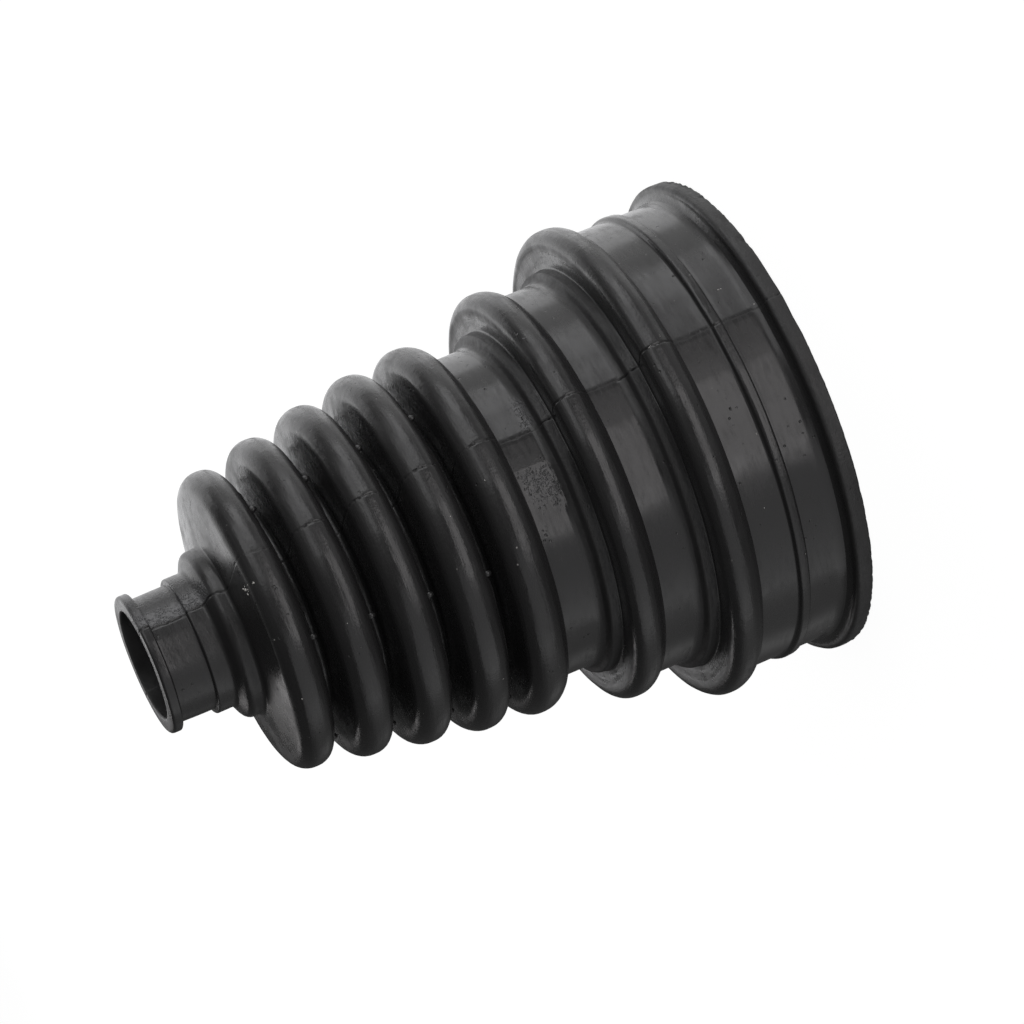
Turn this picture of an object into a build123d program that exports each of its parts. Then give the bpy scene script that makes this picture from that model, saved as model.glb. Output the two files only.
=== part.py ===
from build123d import *
import os

# A moulded rubber bellows boot, in millimetres. It is one solid of revolution about Z.
# It stands on the face of its large rim at z = 0, and its small end is at the top.

# Overall sizes
overall_length = 120.0
rim_radius = 45.0
bore_radius = 10.0
wall = 2.2
edge_break = 0.4

# Small end, from the top face down: lip, clamp seat, collar and shoulder
lip_radius = 12.9
lip_width = 2.0
lip_corner = 0.6
seat_radius = 11.6
seat_width = 6.8
collar_radius = 12.6
collar_width = 3.4
shoulder_radius = 15.6
shoulder_slope = 1.4
shoulder_width = 2.7
shoulder_corner = 0.6

# Five narrow folds, the first one at the small end
fold_radii = [27.9, 29.9, 31.9, 33.7, 34.8]
fold_round = 3.6
fold_depth = 10.0
valley_width = 1.8
first_flank_slope = 1.3
last_fold_back = 4.4
inner_crest_width = 2.4

# Two wide folds, each with a bead at the foot of its front flank
wide_fold_front = 2.8
wide_fold_back = 3.9
bead_width = 1.6
bead_slope = 0.5
bead_foot = 1.4
fold_a_radius = 38.8
bead_a_radius = 32.4
fold_b_radius = 44.8
bead_b_radius = 38.1
groove_width = 1.6
groove_flare = 1.3

# Plain lands between the folds, each with the foot of its bead
land_a_radius = 30.4
land_a_width = 8.3
land_b_radius = 36.4
land_b_width = 7.8
land_c_radius = 42.1
land_c_width = 7.0

# Large end, from the rim's face up: rim, clamp seat and thin ridge
rim_width = 3.2
rim_corner = 0.5
rim_foot = 1.6
clamp_seat_width = 7.9
ridge_height = 0.8
ridge_width = 1.7
ridge_slope = 0.6

# Crest curve: how full it is, and how steeply its back runs down to a land
crest_fullness = 1.65
back_slope = 0.45

# Heights of the large end, stacked from the rim up
clamp_seat_top = rim_width + clamp_seat_width
ridge_top = clamp_seat_top + ridge_width
land_c_top = ridge_top + ridge_slope + land_c_width
fold_b_crest = land_c_top + wide_fold_back
land_b_top = fold_b_crest + wide_fold_front + bead_width + land_b_width
fold_a_crest = land_b_top + wide_fold_back
land_a_top = fold_a_crest + wide_fold_front + bead_width + land_a_width

# Heights of the small end, stacked from the top face down
seat_top = overall_length - lip_width
collar_top = seat_top - seat_width
slope_top = collar_top - collar_width
shoulder_top = slope_top - shoulder_slope
flank_top = shoulder_top - shoulder_width

# The narrow folds share the height that is left between the two ends
first_crest = flank_top - first_flank_slope - fold_round
last_crest = land_a_top + last_fold_back
fold_pitch = (first_crest - last_crest) / (len(fold_radii) - 1)
crest_heights = [first_crest - fold_pitch * i for i in range(len(fold_radii))]
valley_radii = [(a + b) / 2 - fold_depth for a, b in zip(fold_radii, fold_radii[1:])]
valley_heights = [height - fold_pitch / 2 for height in crest_heights[:-1]]


class Outline:
    # a pen that draws edges from point to point, each point as (radius, height)
    def __init__(self, radius, height):
        self.here = Vector(radius, 0, height)
        self.edges = []

    def line(self, radius, height):
        there = Vector(radius, 0, height)
        self.edges.append(Line(self.here, there))
        self.here = there

    def crest(self, radius, height, end_radius, end_height, slope=0):
        # one smooth curve over a fold, which starts straight out from the axis
        end = Vector(end_radius, 0, end_height)
        points = (self.here, Vector(radius, 0, height), end)
        directions = (Vector(1, 0, 0), Vector(-1, 0, -slope).normalized())
        pulls = (crest_fullness, crest_fullness)
        self.edges.append(Spline(*points, tangents=directions, tangent_scalars=pulls))
        self.here = end


def draw_small_end(pen):
    pen.line(lip_radius - lip_corner, overall_length)
    pen.line(lip_radius, overall_length - lip_corner)
    pen.line(lip_radius, seat_top)
    pen.line(seat_radius, seat_top)
    pen.line(seat_radius, collar_top)
    pen.line(collar_radius, collar_top)
    pen.line(collar_radius, slope_top)
    pen.line(shoulder_radius - shoulder_corner, shoulder_top)
    pen.line(shoulder_radius, shoulder_top - shoulder_corner)
    pen.line(shoulder_radius, flank_top + shoulder_corner)
    pen.line(shoulder_radius + shoulder_corner, flank_top)


def draw_narrow_folds(pen):
    for i, (radius, height) in enumerate(zip(fold_radii, crest_heights)):
        pen.line(radius - fold_round, height + fold_round)
        if i < len(valley_radii):
            pen.crest(radius, height, radius - fold_round, height - fold_round)
            pen.line(valley_radii[i], valley_heights[i] + valley_width / 2)
            pen.line(valley_radii[i], valley_heights[i] - valley_width / 2)
        else:
            pen.crest(radius, height, land_a_radius, land_a_top)


def draw_wide_fold(pen, land_radius, bead_radius, crest_radius, crest_height, next_radius):
    front = crest_height + wide_fold_front
    bead_top = front + bead_width
    pen.line(land_radius, bead_top + bead_foot)
    pen.line(land_radius + (bead_radius - land_radius) / 3, bead_top + bead_foot / 3)
    pen.line(bead_radius, bead_top)
    pen.line(bead_radius + bead_slope, front)
    pen.line(crest_radius - wide_fold_front, front)
    pen.crest(crest_radius, crest_height, next_radius, crest_height - wide_fold_back, back_slope)


def draw_large_end(pen):
    pen.line(land_c_radius, ridge_top + ridge_slope)
    pen.line(land_c_radius + ridge_height, ridge_top)
    pen.line(land_c_radius + ridge_height, clamp_seat_top)
    pen.line(land_c_radius, clamp_seat_top)
    pen.line(land_c_radius, rim_width + rim_foot)
    pen.line(land_c_radius + rim_foot / 3, rim_width + rim_foot / 3)
    pen.line(land_c_radius + rim_foot, rim_width)
    pen.line(rim_radius - rim_corner, rim_width)
    pen.line(rim_radius, rim_width - rim_corner)
    pen.line(rim_radius, rim_corner)
    pen.line(rim_radius - rim_corner, 0)


def draw_wide_fold_inside(pen, crest_radius, crest_height, next_land_radius):
    # the groove behind a wide fold, then the back of its front flank, down to the next land
    back = crest_height + wide_fold_front - wall
    pen.line(pen.here.X, back - groove_width - groove_flare)
    pen.line(crest_radius - wall, back - groove_width)
    pen.line(crest_radius - wall, back)
    pen.line(next_land_radius, back)
    pen.line(next_land_radius - wall, back + wall)


def draw_narrow_folds_inside(pen):
    pen.line(pen.here.X, land_a_top + wall)
    for i in reversed(range(len(fold_radii))):
        pen.line(fold_radii[i] - wall, crest_heights[i] - inner_crest_width / 2)
        pen.line(fold_radii[i] - wall, crest_heights[i] + inner_crest_width / 2)
        if i > 0:
            half = valley_width / 2 + wall
            pen.line(valley_radii[i - 1] - wall, valley_heights[i - 1] - half)
            pen.line(valley_radii[i - 1] - wall, valley_heights[i - 1] + half)


def make_boot():
    pen = Outline(bore_radius + edge_break, overall_length)
    draw_small_end(pen)
    draw_narrow_folds(pen)
    draw_wide_fold(pen, land_a_radius, bead_a_radius, fold_a_radius, fold_a_crest, land_b_radius)
    draw_wide_fold(pen, land_b_radius, bead_b_radius, fold_b_radius, fold_b_crest, land_c_radius)
    draw_large_end(pen)
    pen.line(land_c_radius - wall + edge_break, 0)
    pen.line(land_c_radius - wall, edge_break)
    draw_wide_fold_inside(pen, fold_b_radius, fold_b_crest, land_b_radius)
    draw_wide_fold_inside(pen, fold_a_radius, fold_a_crest, land_a_radius)
    draw_narrow_folds_inside(pen)
    pen.line(bore_radius + wall, flank_top - wall)
    pen.line(bore_radius, flank_top)
    pen.line(bore_radius, overall_length - edge_break)
    pen.line(bore_radius + edge_break, overall_length)
    section = Face(Wire(pen.edges))
    return revolve(section, axis=Axis.Z)


boot = make_boot()
os.makedirs("parts", exist_ok=True)
export_step(boot, "parts/boot.step")
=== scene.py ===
import math
import random

import bmesh
import bpy
from mathutils import Matrix, Vector, noise


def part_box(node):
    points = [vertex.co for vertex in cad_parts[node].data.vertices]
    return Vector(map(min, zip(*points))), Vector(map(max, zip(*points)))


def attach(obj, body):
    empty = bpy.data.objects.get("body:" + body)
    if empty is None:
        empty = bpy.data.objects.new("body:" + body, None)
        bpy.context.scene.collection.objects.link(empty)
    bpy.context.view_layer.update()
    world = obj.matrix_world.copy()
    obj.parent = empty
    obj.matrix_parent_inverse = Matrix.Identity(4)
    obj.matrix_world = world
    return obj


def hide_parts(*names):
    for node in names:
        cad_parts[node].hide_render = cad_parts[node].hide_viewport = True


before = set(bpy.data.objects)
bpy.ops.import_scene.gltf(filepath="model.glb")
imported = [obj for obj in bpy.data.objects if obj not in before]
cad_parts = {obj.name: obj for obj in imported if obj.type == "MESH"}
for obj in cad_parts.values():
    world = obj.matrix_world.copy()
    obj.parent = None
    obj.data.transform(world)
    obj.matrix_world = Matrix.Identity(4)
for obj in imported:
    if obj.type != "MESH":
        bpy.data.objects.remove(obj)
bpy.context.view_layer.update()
bootLow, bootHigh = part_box("boot")
mm = 0.001
print("frame loaded, boot is", [round(v / mm, 1) for v in bootHigh - bootLow], "mm")

# Azimuth 0 is the camera's side (-Y) and 90 is +X. Heights run up from the large end's face.
# Sizes are in millimetres and angles in degrees, unless a note says otherwise.


def around(azimuth, elevation=0.0):
    turn, rise = math.radians(azimuth), math.radians(elevation)
    return Vector((math.sin(turn) * math.cos(rise), -math.cos(turn) * math.cos(rise), math.sin(rise)))


def azimuthOf(co):
    return math.degrees(math.atan2(co.x, -co.y))


def turned(degrees):
    # the same direction, between -180 and 180
    return (degrees + 180.0) % 360.0 - 180.0


def smooth(low, high, value):
    t = min(max((value - low) / (high - low), 0.0), 1.0)
    return t * t * (3 - 2 * t)


def makePiece(name, bm):
    mesh = bpy.data.meshes.new(name)
    bm.to_mesh(mesh)
    bm.free()
    piece = bpy.data.objects.new(name, mesh)
    bpy.context.scene.collection.objects.link(piece)
    return piece


# The moulding's outline

bootSizes = {
    "length": round(bootHigh.z / mm, 1),
    "rimRadius": round(bootHigh.y / mm, 1),
    "wall": 2.2,
    "boreRadius": 10.0,
    "lipRadius": 12.9, "lipWidth": 2.0,
    "seatRadius": 11.6, "seatWidth": 6.8,
    "collarRadius": 12.6, "collarWidth": 3.4,
    "shoulderRadius": 15.6, "shoulderSlope": 1.4, "shoulderWidth": 2.7,
    "narrowRadii": [27.9, 29.9, 31.9, 33.7, 34.8],
    "firstCrest": 98.8, "lastCrest": 57.5,
    "crestHalf": 3.6, "foldDepth": 10.0, "valleyWidth": 1.8,
    "flashWidth": 0.22, "flashHeight": 0.3, "flashInset": 0.4,   # the thin mould line behind each narrow crest
    "landTops": [53.1, 36.5, 20.4], "landBottoms": [44.8, 28.7, 3.2],
    "landRadii": [30.4, 36.4, 42.1],
    "wideCrests": [(38.8, 40.4), (44.8, 24.3)],
    "beadRadii": [32.4, 38.1],
    "wideFront": 2.8, "wideBack": 3.9, "beadWidth": 1.6, "beadFoot": 1.4,
    "beadGroove": 0.4,         # how deep the flank dips behind the bead
    "ridgeTop": 12.8, "ridgeBottom": 11.1, "ridgeHeight": 0.8,
    "rimWidth": 3.2, "rimFoot": 1.6,
    "insideStep": 1.6, "insideFoot": 2.9, "insideCrest": 1.2,    # the inner side of the folds
}

# the narrow crests are evenly spaced
narrowCount = len(bootSizes["narrowRadii"])
crestPitch = (bootSizes["firstCrest"] - bootSizes["lastCrest"]) / (narrowCount - 1)
narrowCrests = [bootSizes["firstCrest"] - crestPitch * i for i in range(narrowCount)]

# Each corner of the outline is (radius, height, rounding)


def smallEndHeights(s):
    # from the top face down
    heights = [s["length"]]
    for step in ("lipWidth", "seatWidth", "collarWidth", "shoulderSlope", "shoulderWidth"):
        heights.append(heights[-1] - s[step])
    return heights


def smallEndCorners(s):
    top, seatTop, collarTop, slopeTop, shoulderTop, flankTop = smallEndHeights(s)
    return [
        (s["boreRadius"], top, 0.35),
        (s["lipRadius"], top, 0.6),
        (s["lipRadius"], seatTop, 0.35),
        (s["seatRadius"], seatTop, 0.25),
        (s["seatRadius"], collarTop, 0.2),
        (s["collarRadius"], collarTop, 0.3),
        (s["collarRadius"], slopeTop, 0.6),
        (s["shoulderRadius"], shoulderTop, 0.9),
        (s["shoulderRadius"], flankTop, 0.7),
    ]


def narrowFoldCorners(s):
    corners = []
    half, flash = s["crestHalf"], s["flashWidth"]
    for i, (radius, crest) in enumerate(zip(s["narrowRadii"], narrowCrests)):
        if i == 0:
            corners.append((radius, crest + half - 0.6, 2.9))
        else:
            corners.append((radius, crest + half - 0.3, 3.2))
        if i < narrowCount - 1:
            corners.append((radius, crest - half + 0.05, 3.0))
            flashRadius = radius - half + s["flashInset"]
            corners.append((flashRadius, crest - half, 0.0))
            corners.append((flashRadius - 0.04, crest - half - s["flashHeight"], 0.0))
            corners.append((flashRadius - flash, crest - half - s["flashHeight"], 0.0))
            corners.append((flashRadius - flash - 0.15, crest - half - 0.05, 0.0))
            valleyRadius = (radius + s["narrowRadii"][i + 1]) / 2 - s["foldDepth"]
            valley = crest - crestPitch / 2
            corners.append((valleyRadius, valley + s["valleyWidth"] / 2, 0.8))
            corners.append((valleyRadius, valley - s["valleyWidth"] / 2, 0.8))
        else:
            corners.append((radius, s["landTops"][0], 4.0))
            corners.append((s["landRadii"][0], s["landTops"][0], 0.15))
    return corners


def wideFoldCorners(s, i):
    land, nextLand, bead = s["landRadii"][i], s["landRadii"][i + 1], s["beadRadii"][i]
    crestRadius, crest = s["wideCrests"][i]
    front = crest + s["wideFront"]
    beadTop = front + s["beadWidth"]
    third = (bead - land) / 3
    return [
        (land, beadTop + s["beadFoot"], 0.9),
        (land + third, beadTop + s["beadFoot"] / 3, 0.45),
        (bead, beadTop, 0.4),
        (bead + 0.2, front - s["beadGroove"], 0.2),
        (bead + 0.8, front - s["beadGroove"], 0.3),
        (crestRadius, front, 2.6),
        (crestRadius, crest - s["wideBack"] + 1.1, 2.35),
        (nextLand, crest - s["wideBack"], 0.12),
    ]


def largeEndCorners(s):
    land, ridge, rim = s["landRadii"][2], s["landRadii"][2] + s["ridgeHeight"], s["rimRadius"]
    foot = s["rimFoot"]
    return [
        (land, s["ridgeTop"] + 0.6, 0.25),
        (ridge, s["ridgeTop"], 0.3),
        (ridge - 0.1, s["ridgeBottom"] + 0.2, 0.2),
        (land - 0.05, s["ridgeBottom"] - 0.1, 0.12),
        (land, s["ridgeBottom"] - 0.7, 0.2),
        (land, s["rimWidth"] + foot, 0.9),
        (land + foot / 3, s["rimWidth"] + foot / 3, 0.6),
        (land + foot, s["rimWidth"], 0.3),
        (rim, s["rimWidth"], 0.9),
        (rim, 0.0, 0.35),
    ]


def insideCorners(s):
    # the inner surface, from the large end back up to the bore
    wall = s["wall"]
    corners = [(s["landRadii"][2] - wall, 0.0, 0.3)]
    for i in (1, 0):
        crestRadius, crest = s["wideCrests"][i]
        back = crest + s["wideFront"] - wall
        corners.append((s["landRadii"][i + 1] - wall, back - s["insideFoot"], 0.5))
        corners.append((crestRadius - wall, back - s["insideStep"], 0.5))
        corners.append((crestRadius - wall, back, 0.5))
        corners.append((s["landRadii"][i], back, 0.5))
        corners.append((s["landRadii"][i] - wall, back + wall, 0.6))
    corners.append((s["landRadii"][0] - wall, s["landTops"][0] + wall, 0.5))
    for i in reversed(range(narrowCount)):
        radius, crest = s["narrowRadii"][i], narrowCrests[i]
        corners.append((radius - wall, crest - s["insideCrest"], 1.1))
        corners.append((radius - wall, crest + s["insideCrest"], 1.1))
        if i > 0:
            inner = (radius + s["narrowRadii"][i - 1]) / 2 - s["foldDepth"] - wall
            valley = crest + crestPitch / 2
            half = s["valleyWidth"] / 2 + wall
            corners.append((inner, valley - half, 0.8))
            corners.append((inner, valley + half, 0.8))
    flankTop = smallEndHeights(s)[-1]
    corners.append((s["boreRadius"] + wall, flankTop - wall, 0.5))
    corners.append((s["boreRadius"], flankTop, 0.5))
    return corners


meshChoices = {
    "columns": 136,            # steps around the axis
    "longestEdge": 1.5,        # along the outline
    "longestInside": 3.0,
    "segments": [(2.0, 9), (0.75, 4), (0.3, 3), (0.0, 2)],   # smallest rounding, and its segments
    "wave": 0.07,              # slow unevenness of the rubber
    "waveLengths": (9.0, 3.2),
    "quickWave": 0.3,          # the shorter wave, as a share of the slow one
}


def drawOutline(bm, corners):
    verts = [bm.verts.new((r * mm, 0.0, z * mm)) for r, z, _ in corners]
    bm.faces.new(verts)
    for rounding in sorted({c[2] for c in corners if c[2] > 0}, reverse=True):
        chosen = [v for v, c in zip(verts, corners) if c[2] == rounding]
        segments = next(count for smallest, count in meshChoices["segments"] if rounding >= smallest)
        bmesh.ops.bevel(
            bm, geom=chosen, offset=rounding * mm, offset_type="OFFSET", affect="VERTICES",
            segments=segments, profile=0.5, material=-1, clamp_overlap=False,
        )
    bmesh.ops.delete(bm, geom=list(bm.faces), context="FACES_ONLY")


def markOutline(bm):
    # how far each point lies along the outline, from the bore's top edge outwards
    along = bm.verts.layers.float.new("along")
    top = bootSizes["length"] * mm
    start = min((v for v in bm.verts if abs(v.co.z - top) < 1e-6), key=lambda v: v.co.x)
    edge = max(start.link_edges, key=lambda e: e.other_vert(start).co.x)
    here, travelled = start, 0.0
    while True:
        there = edge.other_vert(here)
        if there == start:
            break
        travelled += edge.calc_length() / mm
        there[along] = travelled
        edge = next(e for e in there.link_edges if e != edge)
        here = there
    # the outer side ends on the large end's face, outside its opening
    opening = bootSizes["landRadii"][2] * mm
    outerLength = max(v[along] for v in bm.verts if v.co.z < 1e-6 and v.co.x > opening)
    return along, outerLength


def refineOutline(bm, along, outerLength):
    for longest, inside in ((meshChoices["longestEdge"], False), (meshChoices["longestInside"], True)):
        for cuts in (7, 6, 5, 4, 3, 2, 1):
            long = [
                e for e in bm.edges
                if longest * mm * cuts < e.calc_length() <= longest * mm * (cuts + 1)
                and (min(v[along] for v in e.verts) > outerLength) == inside
            ]
            if long:
                bmesh.ops.subdivide_edges(bm, edges=long, cuts=cuts)


def makeBootMesh():
    s = bootSizes
    corners = smallEndCorners(s) + narrowFoldCorners(s)
    corners += wideFoldCorners(s, 0) + wideFoldCorners(s, 1) + largeEndCorners(s) + insideCorners(s)
    bm = bmesh.new()
    drawOutline(bm, corners)
    along, outerLength = markOutline(bm)
    refineOutline(bm, along, outerLength)
    # the spin starts at -Y, where azimuth is 0
    bmesh.ops.rotate(bm, verts=list(bm.verts), cent=(0, 0, 0), matrix=Matrix.Rotation(-math.pi / 2, 3, "Z"))
    print("outline has", len(bm.verts), "points")
    bmesh.ops.spin(
        bm, geom=list(bm.verts) + list(bm.edges), cent=(0, 0, 0), axis=(0, 0, 1), dvec=(0, 0, 0),
        angle=2 * math.pi, steps=meshChoices["columns"], use_merge=True,
    )
    bmesh.ops.remove_doubles(bm, verts=list(bm.verts), dist=1e-6)
    bmesh.ops.recalc_face_normals(bm, faces=list(bm.faces))
    return bm, along, outerLength


# The mould line, the finish of each place, and the rubber's small marks

seamMarks = {
    "azimuth": 22.5,           # its other half lies opposite
    "twist": 4.5,              # degrees more at the neck
    "twistHeights": (98, 110),
    "offsets": (0.0, 0.17, 0.45, 1.0),   # from the seam line to its first columns
    "closest": 0.8,            # the same, at most this share of a column's width
    "cuts": 2, "shortest": 0.5,          # finer points along the seam, and the shortest edge that gets them
    # the mould line is a broken groove: (lowest height, highest height, depth)
    "grooves": [
        (-1, 5, 0.2), (5, 11, 0.015), (11, 13, 0.25), (13, 20.4, 0.015), (20.4, 30.2, 0.3), (30.2, 36.5, 0.02),
        (36.5, 46, 0.26), (46, 54, 0.02), (54, 100, 0.2), (100, 103.5, 0.06), (103.5, 121, 0.5),
    ],
    "between": 0.3, "nick": 1.2,         # depth between the nicks, and how much more in one, as shares
    "nickLength": 0.75,        # along the outline
    "nickEdges": (-0.1, 0.35),           # the noise in which a nick starts and is full
    "lips": 0.05, "lipChange": 1.6,      # how far its two edges stand up, as a share of the depth
    # how it wanders sideways: (how far, over what length, place in the noise)
    "wander": [(0.3, 4.0, 7.7), (0.22, 0.9, 3.1)],
}

surfaceZones = {
    # a pair says where a change starts and where it is complete
    "landEdge": (0.15, 0.6),                       # above a land's own radius
    "frontFrom": 2.0, "frontShare": 0.45,          # the first fold's front, above its crest
    "neckScuff": (106, 108), "pastSeam": (0.5, 3),           # heights, and degrees from the mould line
    "neckThin": (8, 22), "neckThinner": 0.8, "neckEnd": (30, 60),
    "stripHeight": 46.3, "stripHalf": (0.5, 1.5), "stripStart": (1, 3), "stripEnd": (7, 16),
    "patchHeight": 49.3, "patchHalf": (2, 3.5), "patchAzimuth": 4, "patchWide": (3, 9), "patchShare": 0.25,
    "offLand": (0.3, 0.9),
    "neckMatte": (102, 105), "neckShare": 0.25,
    "rimMatte": (43.2, 44.4), "rimTop": (2.6, 3.6),          # radii and heights
    "beadShare": 1.1, "flankShare": 0.6,           # how matte a bead and the flank behind it are
    "aboveLand": 0.4, "aboveBead": (0.6, 2.0), "besideBead": 0.2,
    "insideShare": 0.6,
}

flashUnevenness = {
    # how far the line behind a crest hangs down: (how far, over what length)
    "slow": (0.22, 5.0), "quick": (0.2, 1.1),
    "near": (0.02, 0.6),       # a point this near in height and radius belongs to the line
}

rimTrim = {
    "ragged": 0.36,
    "band": 1.2, "full": 0.2, "height": 1.3,       # how far in and how high the ragged edge reaches
    "waves": 14,               # fineness of the cut's slow waves
    "notches": [(0.9, 47), (0.5, 90)],             # (share, fineness)
    "cuts": 3,
}

ventPips = {
    "azimuths": [-15 + 60 * k for k in range(6)],
    "radius": 0.6, "height": 0.8, "outward": 0.55,
    "crest": 0.4,              # how rough they are, as a share of a crest's finish
}

landPits = {
    "seed": 11,
    # patches of clustered pits: (height, azimuth, height spread, azimuth spread, clusters)
    "patches": [
        (51.4, 10.0, 0.7, 2.0, 9), (49.4, 6.5, 0.8, 2.0, 11), (47.0, 1.0, 0.7, 3.5, 12),
        (49.5, 3.0, 2.2, 6.0, 15), (46.3, 29.0, 0.4, 2.2, 7),
    ],
    "perCluster": (4, 12),
    "clusterSize": 0.42, "degreesPerSize": 2.5,
    # single pits: (land, height, azimuth, radius)
    "singles": [
        (0, 50.9, 30.7, 0.22), (0, 49.7, 45.3, 0.2), (0, 48.6, 35.2, 0.14), (2, 16.5, 2.9, 0.26),
        (2, 17.4, 7.9, 0.12), (2, 16.7, 5.5, 0.12), (2, 6.9, 0.2, 0.16), (2, 7.7, -11.5, 0.14),
    ],
    "radius": (0.06, 0.18),
    "depth": 0.9, "flatFloor": 0.35,               # as shares of the radius
    "cuts": 10,                # each face edge is cut this often where the pits lie
    "margin": 0.55,            # how far around a pit the mesh gets finer
    "onLand": 0.12,            # a face this near a land's radius is on the land
    "belowTop": 0.5,
    "clear": (12.5, 25.5),     # azimuths beside the mould line that have no pits
    "awayFromSeam": 1.6,
}


def columnsFromSeam(column):
    # how many columns a point is from the nearer one of the two mould lines
    half = meshChoices["columns"] // 2
    return (round(column) + half // 2) % half - half // 2


def grooveDepth(height):
    return next(depth for low, high, depth in seamMarks["grooves"] if low <= height < high)


def unevenness(place):
    # how far the rubber waves out of its true form
    slow, quick = meshChoices["waveLengths"]
    waves = noise.noise(place / mm / slow) + meshChoices["quickWave"] * noise.noise(place / mm / quick)
    return meshChoices["wave"] * waves


def flashDrop(radius, height, azimuth):
    # the thin line behind a narrow crest is broken and uneven
    s = bootSizes
    nearHeight, nearRadius = flashUnevenness["near"]
    slow, slowLength = flashUnevenness["slow"]
    quick, quickLength = flashUnevenness["quick"]
    for i, (crestRadius, crest) in enumerate(zip(s["narrowRadii"][:-1], narrowCrests)):
        low = crest - s["crestHalf"] - s["flashHeight"]
        flashRadius = crestRadius - s["crestHalf"] + s["flashInset"]
        if abs(height - low) < nearHeight and abs(radius - flashRadius) < nearRadius:
            way = around(azimuth) * crestRadius
            drop = slow * noise.noise(way / slowLength + Vector((0, 0, i)))
            return drop + quick * noise.noise(way / quickLength)
    return 0.0


def crestShare(radius, height):
    # 1 on the folds, beads and rim, less on the first fold's front, and 0 on the smooth lands
    s, z = bootSizes, surfaceZones
    if height > s["firstCrest"] + z["frontFrom"]:
        return z["frontShare"]
    start, full = z["landEdge"]
    for land, top, bottom in zip(s["landRadii"], s["landTops"], s["landBottoms"]):
        if bottom < height < top:
            return smooth(land + start, land + full, radius)
    return 1.0


def scuffAndSheenShare(radius, height, azimuth, fromSeam):
    # 1 where the rubber is pitted: above the mould line on the neck, and in two places on the first land. There the
    #                               colour is also made lighter, partly a painted sheen.
    z = surfaceZones
    neck = smooth(*z["neckScuff"], height) * smooth(*z["pastSeam"], fromSeam)
    neck *= 1 - z["neckThinner"] * smooth(*z["neckThin"], fromSeam)
    neck *= 1 - smooth(*z["neckEnd"], fromSeam)
    strip = 1 - smooth(*z["stripHalf"], abs(height - z["stripHeight"]))
    strip *= smooth(*z["stripStart"], fromSeam) * (1 - smooth(*z["stripEnd"], fromSeam))
    patch = 1 - smooth(*z["patchWide"], abs(azimuth - z["patchAzimuth"]))
    patch *= 1 - smooth(*z["patchHalf"], abs(height - z["patchHeight"]))
    onLand = 1 - smooth(*z["offLand"], abs(radius - bootSizes["landRadii"][0]))
    return max(neck, onLand * strip, z["patchShare"] * onLand * patch)


def matteShare(radius, height):
    # about 1 where the rubber is dull: less on the neck, more on the rim and on the wide folds' fronts
    s, z = bootSizes, surfaceZones
    share = z["neckShare"] * smooth(*z["neckMatte"], height)
    share = max(share, smooth(*z["rimMatte"], radius) * (1 - smooth(*z["rimTop"], height)))
    start, gone = z["aboveBead"]
    for (_, crest), land, bead in zip(s["wideCrests"], s["landRadii"], s["beadRadii"]):
        low = crest + s["wideFront"]
        high = low + s["beadWidth"] + s["beadFoot"]
        if low - z["besideBead"] < height < high + z["besideBead"]:
            onBead = smooth(land, land + z["aboveLand"], radius) * (1 - smooth(bead + start, bead + gone, radius))
            onFlank = smooth(bead, bead + start, radius)
            share = max(share, z["beadShare"] * onBead, z["flankShare"] * onFlank)
    return share


def refineSeams(bm, along, outerLength):
    # more points along the two mould lines, so their nicks can be short
    step = 360.0 / meshChoices["columns"]
    column = bm.verts.layers.float.new("column")
    for v in bm.verts:
        v[column] = round(azimuthOf(v.co) / step)
    chosen = []
    for e in bm.edges:
        a, b = e.verts
        bySeam = a[column] == b[column] and abs(columnsFromSeam(a[column])) < 2
        if bySeam and max(a[along], b[along]) < outerLength and e.calc_length() > seamMarks["shortest"] * mm:
            chosen.append(e)
    bmesh.ops.subdivide_edges(bm, edges=chosen, cuts=seamMarks["cuts"], use_grid_fill=True)


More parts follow.
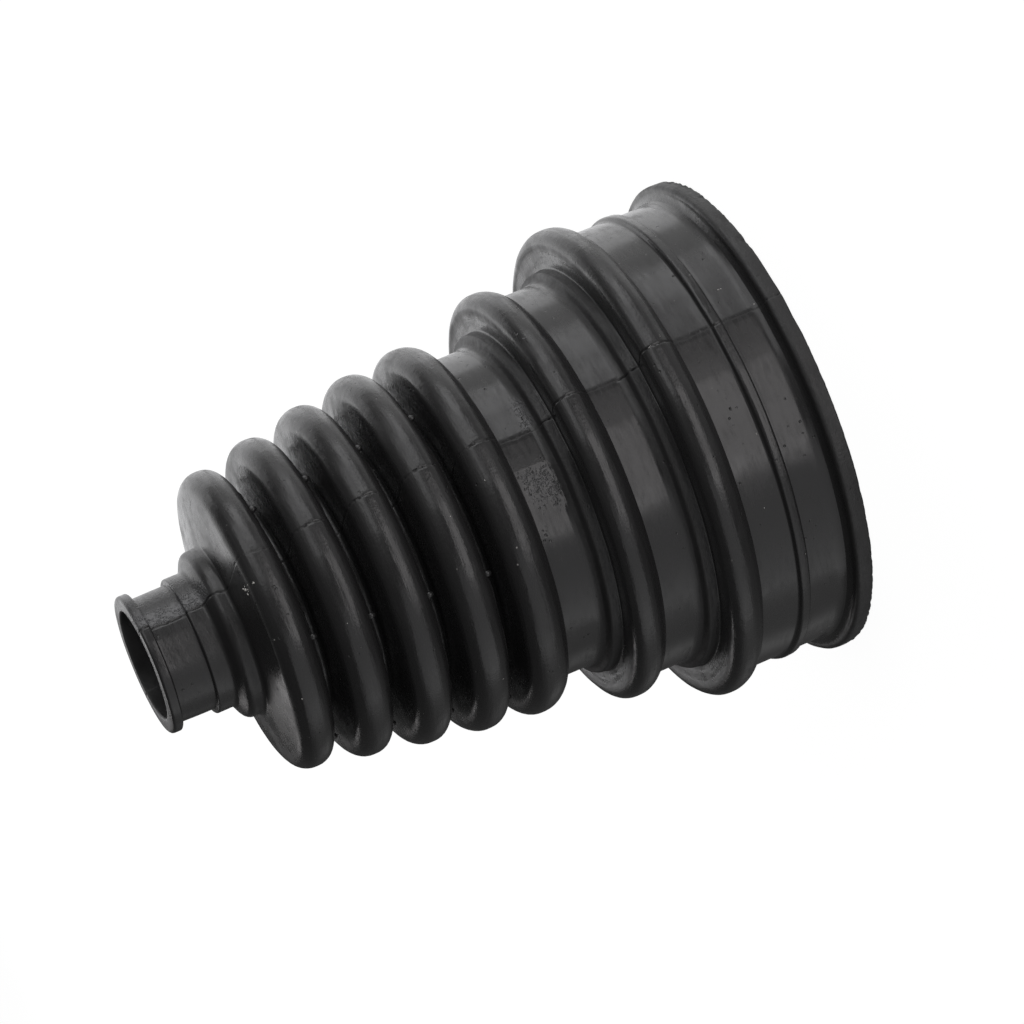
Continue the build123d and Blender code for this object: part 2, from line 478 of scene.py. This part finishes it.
def shapeSurface(bm, along, outerLength):
    # columns close up on the two mould lines, which get their broken groove, and the rest waves a little
    m = seamMarks
    step = 360.0 / meshChoices["columns"]
    column = bm.verts.layers.float["column"]
    crest, scuff, matte, crack = (bm.verts.layers.float.new(name) for name in ("crest", "scuff", "matte", "crack"))
    bm.normal_update()
    moves = []
    for v in bm.verts:
        radius, height = math.hypot(v.co.x, v.co.y) / mm, v.co.z / mm
        fromSeam = columnsFromSeam(v[column])
        away = abs(fromSeam)
        azimuth = v[column] * step
        if away < len(m["offsets"]):
            offset = min(m["offsets"][away], away * m["closest"] * radius * math.radians(step))
            azimuth += math.copysign(math.degrees(math.asin(offset / radius)), fromSeam) - fromSeam * step
        seam = m["azimuth"] + m["twist"] * smooth(*m["twistHeights"], height)
        azimuth += seam
        if away < len(m["offsets"]):
            whichSeam = round(v[column] / (meshChoices["columns"] // 2))
            wander = 0.0
            for sideways, length, start in m["wander"]:
                wander += sideways * noise.noise(Vector((v[along] / length, start, whichSeam)))
            azimuth += math.degrees(wander / radius) * (1 - away / len(m["offsets"]))
        place = around(azimuth) * radius * mm
        place.z = v.co.z - flashDrop(radius, height, azimuth) * mm
        turn = Matrix.Rotation(math.radians(azimuth - v[column] * step), 3, "Z")
        normal = turn @ v.normal
        lift = 0.0
        if v[along] < outerLength:
            lift = unevenness(place)
            broken = noise.noise(Vector((v[along] / m["nickLength"], 0.3, v[column] * 0.21)))
            if away == 0:
                share = smooth(*m["nickEdges"], broken)
                lift -= grooveDepth(height) * (m["between"] + m["nick"] * share)
                v[crack] = m["between"] + (1 - m["between"]) * share
            elif away == 1:
                lift += m["lips"] * grooveDepth(height) * (1 + m["lipChange"] * broken)
            v[crest] = crestShare(radius, height)
            v[scuff] = scuffAndSheenShare(radius, height, turned(azimuth), turned(azimuth - seam))
            v[matte] = matteShare(radius, height)
        else:
            v[matte] = surfaceZones["insideShare"]
        moves.append((v, place + normal * lift * mm))
    for v, place in moves:
        v.co = place


def roughenRim(bm):
    # the trimmed edge of the large end is ragged, so it gets more points first
    rim, r = bootSizes["rimRadius"], rimTrim
    across = [
        e for e in bm.edges
        if all(v.co.z < 1.25 * mm and math.hypot(v.co.x, v.co.y) > (rim - 0.9) * mm for v in e.verts)
        and abs(e.verts[0].co.z - e.verts[1].co.z) < 0.12 * mm and e.calc_length() > 1.2 * mm
    ]
    bmesh.ops.subdivide_edges(bm, edges=across, cuts=r["cuts"], use_grid_fill=True)
    for v in bm.verts:
        radius, height = math.hypot(v.co.x, v.co.y) / mm, v.co.z / mm
        if radius > rim - r["band"] and height < r["height"]:
            share = smooth(rim - r["band"], rim - r["full"], radius) * (1 - smooth(r["full"], r["height"], height))
            direction = Vector((v.co.x, v.co.y, 0)).normalized()
            cut = abs(noise.noise(direction * r["waves"]))
            for part, fineness in r["notches"]:
                cut += part * max(0.0, noise.noise(direction * fineness))
            v.co -= direction * r["ragged"] * cut * share * mm


def choosePits():
    # each pit is (land, height, azimuth, radius)
    p = landPits
    rng = random.Random(p["seed"])
    pits = []
    for height, azimuth, highSpread, wideSpread, clusters in p["patches"]:
        for _ in range(clusters):
            middle = (rng.gauss(height, highSpread), rng.gauss(azimuth, wideSpread))
            for _ in range(rng.randint(*p["perCluster"])):
                size = rng.uniform(*p["radius"])
                up = rng.gauss(0, p["clusterSize"])
                sideways = p["degreesPerSize"] * rng.gauss(0, p["clusterSize"])
                pits.append((0, middle[0] + up, middle[1] + sideways, size))
    low, high = p["clear"]
    tops = [top - p["belowTop"] for top in bootSizes["landTops"]]
    return [s for s in pits + p["singles"] if s[1] < tops[s[0]] and not low < s[2] < high]


def refineLand(bm, landRadius, pits, along, outerLength):
    # the mesh gets finer where the pits lie, and goes back onto its cylinder
    p = landPits
    near = set()
    for f in bm.faces:
        middle = f.calc_center_median() / mm
        offLand = abs(math.hypot(middle.x, middle.y) - landRadius) > p["onLand"]
        if offLand or f.verts[0][along] > outerLength:
            continue
        if any((middle - place).length < size + p["margin"] for place, size in pits):
            near.update(f.edges)
    if not near:
        return []
    # edges and points keep the mesh's own order, so that every run gives the same mesh
    chosen = [e for e in bm.edges if e in near]
    made = bmesh.ops.subdivide_edges(bm, edges=chosen, cuts=p["cuts"], use_grid_fill=True)
    added = list(dict.fromkeys(g for g in made["geom_inner"] if isinstance(g, bmesh.types.BMVert)))
    seamWidth = math.degrees(p["awayFromSeam"] / landRadius)
    for v in added:
        flat = Vector((v.co.x, v.co.y, 0))
        if abs(turned(azimuthOf(v.co) - seamMarks["azimuth"])) > seamWidth:
            v.co += flat.normalized() * ((landRadius + unevenness(v.co)) * mm - flat.length)
    return added


def pitLands(bm, along, outerLength):
    chosen = choosePits()
    for land, landRadius in enumerate(bootSizes["landRadii"]):
        pits = [(around(a) * landRadius + Vector((0, 0, h)), size) for k, h, a, size in chosen if k == land]
        for v in refineLand(bm, landRadius, pits, along, outerLength):
            point = v.co / mm
            press = 0.0
            for place, size in pits:
                gap = (point - place).length
                if gap < size:
                    share = 1 - smooth(landPits["flatFloor"] * size, size, gap)
                    press = max(press, landPits["depth"] * size * share)
            if press:
                v.co -= Vector((v.co.x, v.co.y, 0)).normalized() * press * mm


def addPips(bm):
    # small vent pips stand on the mould line behind the first four crests
    s, p = bootSizes, ventPips
    crestLayer = bm.verts.layers.float["crest"]
    size = p["radius"] * mm
    scale = Matrix.Diagonal((size, size, p["height"] * mm, 1))
    for radius, crest in zip(s["narrowRadii"][:-1], narrowCrests):
        height = crest - s["crestHalf"] - s["flashHeight"]
        for azimuth in p["azimuths"]:
            place = around(azimuth) * (radius - s["crestHalf"] + p["outward"]) + Vector((0, 0, height))
            shape = Matrix.Translation(place * mm) @ scale
            made = bmesh.ops.create_icosphere(bm, subdivisions=2, radius=1.0, matrix=shape)
            for v in made["verts"]:
                v[crestLayer] = p["crest"]


def makeBoot():
    bm, along, outerLength = makeBootMesh()
    refineSeams(bm, along, outerLength)
    shapeSurface(bm, along, outerLength)
    roughenRim(bm)
    pitLands(bm, along, outerLength)
    addPips(bm)
    for f in bm.faces:
        f.smooth = True
    piece = makePiece("bootMoulding", bm)
    evenNormals = piece.modifiers.new("evenNormals", "WEIGHTED_NORMAL")
    evenNormals.mode = "FACE_AREA"
    evenNormals.weight = 50
    print("boot has", sum(len(p.vertices) - 2 for p in piece.data.polygons), "triangles")
    return piece


bootPiece = makeBoot()

# Nodes for the finishes


def newGroup(name, inputs, outputs):
    # inputs are (name, starting value), and one without a value is a vector; outputs are names
    group = bpy.data.node_groups.new(name, "ShaderNodeTree")
    for label, value in inputs:
        kind = "NodeSocketFloat" if isinstance(value, float) else "NodeSocketVector"
        socket = group.interface.new_socket(name=label, in_out="INPUT", socket_type=kind)
        if value is not None:
            socket.default_value = value
    for label in outputs:
        group.interface.new_socket(name=label, in_out="OUTPUT", socket_type="NodeSocketFloat")
    start, end = group.nodes.new("NodeGroupInput"), group.nodes.new("NodeGroupOutput")
    return group, start, end


def feed(links, value, socket):
    # another node's output is linked, and a number or colour is set on the socket
    if isinstance(value, bpy.types.NodeSocket):
        links.new(value, socket)
    else:
        socket.default_value = value


def addMath(nodes, links, operation, *values):
    node = nodes.new("ShaderNodeMath")
    node.operation = operation
    for i, value in enumerate(values):
        feed(links, value, node.inputs[i])
    return node.outputs[0]


def addVectorMath(nodes, links, operation, *values):
    node = nodes.new("ShaderNodeVectorMath")
    node.operation = operation
    for i, value in enumerate(values):
        feed(links, value, node.inputs[i])
    return node


def addRange(nodes, links, value, low, high, toLow=0.0, toHigh=1.0):
    ramp = nodes.new("ShaderNodeMapRange")
    for label, number in (("From Min", low), ("From Max", high), ("To Min", toLow), ("To Max", toHigh)):
        ramp.inputs[label].default_value = number
    links.new(value, ramp.inputs["Value"])
    return ramp.outputs["Result"]


def addNoise(nodes, links, vector, scale, detail=3.0, roughness=0.55):
    texture = nodes.new("ShaderNodeTexNoise")
    for label, number in (("Scale", scale), ("Detail", detail), ("Roughness", roughness)):
        texture.inputs[label].default_value = number
    links.new(vector, texture.inputs["Vector"])
    return texture.outputs["Fac"]


def addCells(nodes, links, vector, scale):
    cells = nodes.new("ShaderNodeTexVoronoi")
    cells.inputs["Scale"].default_value = scale
    links.new(vector, cells.inputs["Vector"])
    return cells.outputs["Distance"]


def addMix(nodes, links, factor, a, b):
    mix = nodes.new("ShaderNodeMix")
    mix.data_type = "RGBA"
    feed(links, factor, mix.inputs["Factor"])
    feed(links, a, mix.inputs["A"])
    feed(links, b, mix.inputs["B"])
    return mix.outputs["Result"]


def addGroup(nodes, links, group, values):
    node = nodes.new("ShaderNodeGroup")
    node.node_tree = group
    for label, value in values.items():
        feed(links, value, node.inputs[label])
    return node


def addMark(nodes, name):
    mark = nodes.new("ShaderNodeAttribute")
    mark.attribute_name = name
    return mark.outputs["Fac"]


def newMaterial(name):
    material = bpy.data.materials.new(name)
    material.use_nodes = True
    return material, material.node_tree.nodes, material.node_tree.links


# The rubber's grain and haze. A scale is per metre, and a range is (value where it starts, where it is full).

grainValues = {
    "fine": (2600.0, 2.0, 0.6), "fineShare": 0.45,           # scale, detail and roughness of the noise
    "coarse": (900.0, 3.0, 0.55),
    "pinholeCells": 620.0, "pinholeEdges": (0.06, 0.17), "pinholePatches": (210.0, 2.0), "pinholeRange": (0.56, 0.66),
    "pockCells": 2300.0, "pockEdges": (0.25, 0.6), "pockPatches": (620.0, 3.0, 0.6), "pockRange": (0.4, 0.54),
    # the streaks' noise: its circle's radius in metres, scale, detail and roughness
    "streakCircle": 0.035 / 9.0, "streaks": (620.0, 4.0, 0.6),
}

hazeValues = {
    "broad": (95.0, 4.0, 0.6), "broadRange": (0.42, 0.72),
    "fine": (260.0, 5.0, 0.65), "fineRange": (0.4, 0.75), "fineStretch": (1.0, 1.0, 5.0),
    "dustCells": 330.0, "dustEdges": (0.035, 0.06), "dustPatches": (160.0, 2.0), "dustRange": (0.57, 0.63),
}


def addRings(nodes, links, vector, circle, scale, detail, roughness):
    # noise drawn out along the boot's circles: each point is on a small circle in the noise,
    # at its own height, and its distance from the axis is the noise's fourth direction
    flat = addVectorMath(nodes, links, "MULTIPLY", vector, (1, 1, 0)).outputs["Vector"]
    distance = addVectorMath(nodes, links, "LENGTH", flat).outputs["Value"]
    towards = addVectorMath(nodes, links, "NORMALIZE", flat).outputs["Vector"]
    small = addVectorMath(nodes, links, "SCALE", towards)
    small.inputs["Scale"].default_value = circle
    height = addVectorMath(nodes, links, "MULTIPLY", vector, (0, 0, 1)).outputs["Vector"]
    place = addVectorMath(nodes, links, "ADD", small.outputs["Vector"], height).outputs["Vector"]
    texture = nodes.new("ShaderNodeTexNoise")
    texture.noise_dimensions = "4D"
    for label, number in (("Scale", scale), ("Detail", detail), ("Roughness", roughness)):
        texture.inputs[label].default_value = number
    links.new(place, texture.inputs["Vector"])
    links.new(distance, texture.inputs["W"])
    return texture.outputs["Fac"]


def makeGrainGroup():
    # fine pebbling of moulded rubber, with scattered pinholes, pocks and faint streaks along the circles
    g = grainValues
    group, start, end = newGroup(
        "rubberGrain",
        [("Vector", None), ("Pebbles", 0.3), ("Scuff", 0.0), ("Pinholes", 0.5), ("Streaks", 0.5)],
        ["Height"],
    )
    nodes, links = group.nodes, group.links
    vector = start.outputs["Vector"]

    def times(a, b):
        return addMath(nodes, links, "MULTIPLY", a, b)

    fine = times(addNoise(nodes, links, vector, *g["fine"]), g["fineShare"])
    coarse = addNoise(nodes, links, vector, *g["coarse"])
    pebbles = times(addMath(nodes, links, "ADD", fine, coarse), start.outputs["Pebbles"])
    holes = addRange(nodes, links, addCells(nodes, links, vector, g["pinholeCells"]), *g["pinholeEdges"], 1.0, 0.0)
    where = addRange(nodes, links, addNoise(nodes, links, vector, *g["pinholePatches"]), *g["pinholeRange"])
    holes = times(times(holes, where), start.outputs["Pinholes"])
    pocks = addRange(nodes, links, addCells(nodes, links, vector, g["pockCells"]), *g["pockEdges"], 1.0, 0.0)
    crowded = addRange(nodes, links, addNoise(nodes, links, vector, *g["pockPatches"]), *g["pockRange"])
    pocks = times(times(pocks, crowded), start.outputs["Scuff"])
    streaks = times(addRings(nodes, links, vector, g["streakCircle"], *g["streaks"]), start.outputs["Streaks"])
    height = addMath(nodes, links, "SUBTRACT", pebbles, addMath(nodes, links, "ADD", holes, pocks))
    links.new(addMath(nodes, links, "ADD", height, streaks), end.inputs["Height"])
    return group


def makeHazeGroup():
    # smudges of mould release and dust that dull the gloss in patches
    h = hazeValues
    group, start, end = newGroup("releaseHaze", [("Vector", None), ("Amount", 1.0)], ["Haze", "Dust"])
    nodes, links = group.nodes, group.links
    vector = start.outputs["Vector"]
    broad = addRange(nodes, links, addNoise(nodes, links, vector, *h["broad"]), *h["broadRange"])
    stretched = addVectorMath(nodes, links, "MULTIPLY", vector, h["fineStretch"]).outputs["Vector"]
    fine = addRange(nodes, links, addNoise(nodes, links, stretched, *h["fine"]), *h["fineRange"])
    both = addMath(nodes, links, "ADD", broad, fine)
    links.new(addMath(nodes, links, "MULTIPLY", both, start.outputs["Amount"]), end.inputs["Haze"])
    dots = addRange(nodes, links, addCells(nodes, links, vector, h["dustCells"]), *h["dustEdges"], 1.0, 0.0)
    rare = addRange(nodes, links, addNoise(nodes, links, vector, *h["dustPatches"]), *h["dustRange"])
    links.new(addMath(nodes, links, "MULTIPLY", dots, rare), end.inputs["Dust"])
    return group


grainGroup = makeGrainGroup()
hazeGroup = makeHazeGroup()

rubberFinish = {
    "colour": (0.0195, 0.0191, 0.0194, 1),
    # lighter where the rubber is scuffed and pitted: partly its own worn grey, partly a painted sheen for the light
    # that the rough neck above the mould line catches
    "scuffAndSheenColour": (0.085, 0.085, 0.088, 1),
    "dustColour": (0.30, 0.29, 0.28, 1),
    "landRoughness": 0.14, "crestRoughness": 0.17,
    "matteRoughness": 0.25, "hazeRoughness": 0.16, "crackRoughness": 0.6,    # added where these are
    "landPebbles": 0.04, "crestPebbles": 0.4, "mattePebbles": 0.5,
    "landStreaks": 0.06, "crestStreaks": 1.1,
    "scuff": 1.2, "pinholes": 1.2, "haze": 1.0,
    "bump": 0.00011,           # metres
}


def makeRubber():
    f = rubberFinish
    material, nodes, links = newMaterial("mouldedRubber")
    shader = nodes["Principled BSDF"]
    place = nodes.new("ShaderNodeTexCoord").outputs["Object"]
    crest, scuff, matte, crack = (addMark(nodes, name) for name in ("crest", "scuff", "matte", "crack"))

    def plusShare(value, share, amount):
        return addMath(nodes, links, "ADD", value, addMath(nodes, links, "MULTIPLY", share, amount))

    pebbles = addRange(nodes, links, crest, 0, 1, f["landPebbles"], f["crestPebbles"])
    grain = addGroup(nodes, links, grainGroup, {
        "Vector": place,
        "Pebbles": plusShare(pebbles, matte, f["mattePebbles"]),
        "Scuff": addMath(nodes, links, "MULTIPLY", scuff, f["scuff"]),
        "Pinholes": f["pinholes"],
        "Streaks": addRange(nodes, links, crest, 0, 1, f["landStreaks"], f["crestStreaks"]),
    })
    haze = addGroup(nodes, links, hazeGroup, {"Vector": place, "Amount": f["haze"]})
    roughness = addRange(nodes, links, crest, 0, 1, f["landRoughness"], f["crestRoughness"])
    roughness = plusShare(roughness, matte, f["matteRoughness"])
    roughness = plusShare(roughness, haze.outputs["Haze"], f["hazeRoughness"])
    roughness = plusShare(roughness, crack, f["crackRoughness"])
    links.new(roughness, shader.inputs["Roughness"])
    # the scuffed places get a lighter colour: partly worn rubber, partly a painted sheen
    wornAndSheen = addMix(nodes, links, scuff, f["colour"], f["scuffAndSheenColour"])
    colour = addMix(nodes, links, haze.outputs["Dust"], wornAndSheen, f["dustColour"])
    links.new(colour, shader.inputs["Base Color"])
    bump = nodes.new("ShaderNodeBump")
    bump.inputs["Distance"].default_value = f["bump"]
    links.new(grain.outputs["Height"], bump.inputs["Height"])
    links.new(bump.outputs["Normal"], shader.inputs["Normal"])
    return material


bootPiece.data.materials.append(makeRubber())
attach(bootPiece, "root")
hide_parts("boot")
print("rubber finished")

# Pale crumbs and dust on the rubber

crumbValues = {
    # (radius, height, azimuth, spread, count, size)
    "spots": [
        (25.14, 102.34, 12.0, 0.35, 6, 0.22), (27.13, 101.29, 12.5, 0.25, 3, 0.17),
        (26.2, 101.9, 12.2, 0.5, 4, 0.09), (29.81, 89.44, -12.7, 0.05, 1, 0.1),
        (27.62, 100.46, -34.2, 0.05, 1, 0.11), (33.64, 66.98, 5.8, 0.1, 2, 0.1),
        (34.54, 59.05, 11.5, 0.05, 1, 0.09), (44.66, 25.15, 22.0, 0.5, 3, 0.1),
        (44.79, 23.36, 24.1, 0.4, 2, 0.08), (42.1, 8.31, 31.5, 0.15, 3, 0.09),
        (42.1, 14.0, -4.8, 0.1, 2, 0.1), (42.1, 16.78, -22.0, 0.05, 1, 0.1),
        (44.55, 25.49, -17.5, 0.05, 1, 0.09), (44.51, 25.6, -29.3, 0.05, 1, 0.09),
        (42.9, 11.59, -37.2, 0.05, 1, 0.1),
    ],
    "sink": 0.3,               # how deep a crumb sits, as a share of its size
    "sizes": (0.6, 1.2), "widths": (0.4, 0.8), "heights": (0.5, 1.1),        # as shares
    "fineness": 6.0, "rough": 0.03, "shifts": (0.0, 17.3, 41.9),     # places in the noise for x, y and z
    "colour": (0.72, 0.70, 0.67, 1), "darker": 0.6, "haze": 1.0, "roughness": 0.8,
    "seed": 5,
}


def makeCrumbs():
    c = crumbValues
    rng = random.Random(c["seed"])
    bm = bmesh.new()
    for radius, height, azimuth, spread, count, size in c["spots"]:
        for _ in range(count):
            a = azimuth + math.degrees(rng.gauss(0, spread) / radius)
            place = around(a) * (radius - c["sink"] * size) + Vector((0, 0, height + rng.gauss(0, spread)))
            s = size * rng.uniform(*c["sizes"]) * mm
            shape = Matrix.Translation(place * mm) @ Matrix.Rotation(rng.uniform(0, 3), 4, (rng.random(), 1, 0.5))
            shape = shape @ Matrix.Diagonal((s, s * rng.uniform(*c["widths"]), s * rng.uniform(*c["heights"]), 1))
            bmesh.ops.create_icosphere(bm, subdivisions=2, radius=1.0, matrix=shape)
    for v in bm.verts:
        place = v.co / mm * c["fineness"]
        push = Vector([noise.noise(place + Vector((shift, 0, 0))) for shift in c["shifts"]])
        v.co += push * c["rough"] * mm
    return makePiece("crumbs", bm)


def makeDust():
    c = crumbValues
    material, nodes, links = newMaterial("paleDust")
    shader = nodes["Principled BSDF"]
    place = nodes.new("ShaderNodeTexCoord").outputs["Object"]
    haze = addGroup(nodes, links, hazeGroup, {"Vector": place, "Amount": c["haze"]})
    dark = [c["darker"] * v for v in c["colour"][:3]] + [1]
    links.new(addMix(nodes, links, haze.outputs["Haze"], c["colour"], dark), shader.inputs["Base Color"])
    shader.inputs["Roughness"].default_value = c["roughness"]
    return material


crumbPiece = makeCrumbs()
crumbPiece.data.materials.append(makeDust())
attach(crumbPiece, "root")
print("crumbs laid")

# Softboxes and the white room's glow

studioValues = {
    "distance": 1.5,           # metres
    "aim": (0.0, 0.0, 0.055),
    "warm": (1.0, 0.97, 0.975), "cool": (0.985, 0.985, 1.0),
    "dimmest": 0.055,
    # soft glow of the white room: (azimuth, elevation, brightness, sharpness)
    "glows": [
        (120, -48, 0.8, 7), (-95, -10, 0.3, 9), (50, 26, 0.6, 7), (104, -10, 0.55, 9),
        (30, -48, 0.3, 7), (-137, -18, 0.22, 60), (160, 42, 1.0, 25),
    ],
}


def placeSoftbox(name, azimuth, elevation, wide, tall, brightness, tint="cool"):
    # wide and tall are degrees as seen from the boot, and brightness is the panel's own
    d = studioValues["distance"]
    width = 2 * d * math.tan(math.radians(wide) / 2)
    height = 2 * d * math.tan(math.radians(tall) / 2)
    lamp = bpy.data.lights.new(name, "AREA")
    lamp.shape = "RECTANGLE"
    lamp.size = width
    lamp.size_y = height
    lamp.energy = brightness * math.pi * width * height
    lamp.color = studioValues[tint]
    box = bpy.data.objects.new(name, lamp)
    toLamp = around(azimuth, elevation)
    box.location = Vector(studioValues["aim"]) + toLamp * d
    box.rotation_mode = "QUATERNION"
    box.rotation_quaternion = toLamp.to_track_quat("Z", "Y")
    box.visible_camera = False
    bpy.context.scene.collection.objects.link(box)


placeSoftbox("keySoftbox", 2.5, -22, 55, 28, 1.7, "warm")
placeSoftbox("edgeSoftbox", 72, -8, 38, 24, 1.7)
placeSoftbox("frontSoftbox", 50, 20, 50, 30, 0.9)
placeSoftbox("sideSoftbox", -56, 3, 80, 64, 0.48)
placeSoftbox("backSoftbox", 149, 13.5, 60, 49, 1.0)
placeSoftbox("landSoftbox", 150, -20, 60, 16, 0.95)
placeSoftbox("rearSoftbox", -170, 31, 24, 16, 0.85, "warm")


def makeGlowGroup():
    # a soft glow around one direction
    group, start, end = newGroup(
        "softGlow",
        [("Direction", None), ("Towards", (0, 0, 1)), ("Brightness", 1.0), ("Sharpness", 7.0)],
        ["Glow"],
    )
    nodes, links = group.nodes, group.links
    dot = addVectorMath(nodes, links, "DOT_PRODUCT", start.outputs["Direction"], start.outputs["Towards"])
    short = addMath(nodes, links, "SUBTRACT", dot.outputs["Value"], 1.0)
    power = addMath(nodes, links, "MULTIPLY", short, start.outputs["Sharpness"])
    shape = addMath(nodes, links, "EXPONENT", power)
    links.new(addMath(nodes, links, "MULTIPLY", shape, start.outputs["Brightness"]), end.inputs["Glow"])
    return group


def makeWorld():
    world = bpy.data.worlds.new("paleStudio")
    world.use_nodes = True
    nodes, links = world.node_tree.nodes, world.node_tree.links
    background = nodes["Background"]
    background.inputs["Color"].default_value = (1, 1, 1, 1)
    direction = nodes.new("ShaderNodeTexCoord").outputs["Generated"]
    glowGroup = makeGlowGroup()
    glow = studioValues["dimmest"]
    for azimuth, elevation, brightness, sharpness in studioValues["glows"]:
        soft = addGroup(nodes, links, glowGroup, {
            "Direction": direction, "Towards": around(azimuth, elevation),
            "Brightness": brightness, "Sharpness": sharpness,
        })
        glow = addMath(nodes, links, "ADD", soft.outputs["Glow"], glow)
    # the camera itself sees plain white, through anything clear as well
    path = nodes.new("ShaderNodeLightPath")
    for ray in ("Is Camera Ray", "Is Transmission Ray"):
        glow = addMath(nodes, links, "MAXIMUM", glow, path.outputs[ray])
    links.new(glow, background.inputs["Strength"])
    return world


bpy.context.scene.world = makeWorld()

# Floor and camera

floorValues = {
    "halfSize": 4.0,           # metres
    "colour": (0.8, 0.8, 0.8, 1),
    "shine": 1.2, "shineShare": 0.8,     # its own white, so that only the boot's faint shadow is left on it
}


def makeFloor():
    bm = bmesh.new()
    bmesh.ops.create_grid(bm, x_segments=1, y_segments=1, size=floorValues["halfSize"])
    floor = makePiece("floor", bm)
    floor.visible_glossy = False
    floor.visible_diffuse = False
    floor.visible_shadow = False
    material, nodes, links = newMaterial("paleFloor")
    nodes.remove(nodes["Principled BSDF"])
    matte = nodes.new("ShaderNodeBsdfDiffuse")
    matte.inputs["Color"].default_value = floorValues["colour"]
    shine = nodes.new("ShaderNodeEmission")
    shine.inputs["Strength"].default_value = floorValues["shine"]
    mix = nodes.new("ShaderNodeMixShader")
    mix.inputs["Fac"].default_value = floorValues["shineShare"]
    links.new(matte.outputs[0], mix.inputs[1])
    links.new(shine.outputs[0], mix.inputs[2])
    links.new(mix.outputs[0], nodes["Material Output"].inputs["Surface"])
    floor.data.materials.append(material)
    return floor


makeFloor()

cameraValues = {
    "spot": (0.0, -0.6918, 0.22229), "aim": (0.00015, 0.0, 0.04829),         # metres
    "roll": -112.536,
    "lens": 140.625, "sensor": 36,
    "nearest": 0.01,           # metres
}


def placeCamera():
    c = cameraValues
    data = bpy.data.cameras.new("camera")
    data.lens = c["lens"]
    data.sensor_width = c["sensor"]
    data.clip_start = c["nearest"]
    camera = bpy.data.objects.new("camera", data)
    bpy.context.scene.collection.objects.link(camera)
    camera.location = c["spot"]
    look = (Vector(c["aim"]) - Vector(c["spot"])).to_track_quat("-Z", "Y")
    camera.rotation_mode = "QUATERNION"
    camera.rotation_quaternion = look @ Matrix.Rotation(math.radians(c["roll"]), 4, "Z").to_quaternion()
    return camera


bpy.context.scene.camera = placeCamera()
bpy.context.scene.view_settings.view_transform = "Standard"
print("studio set up")
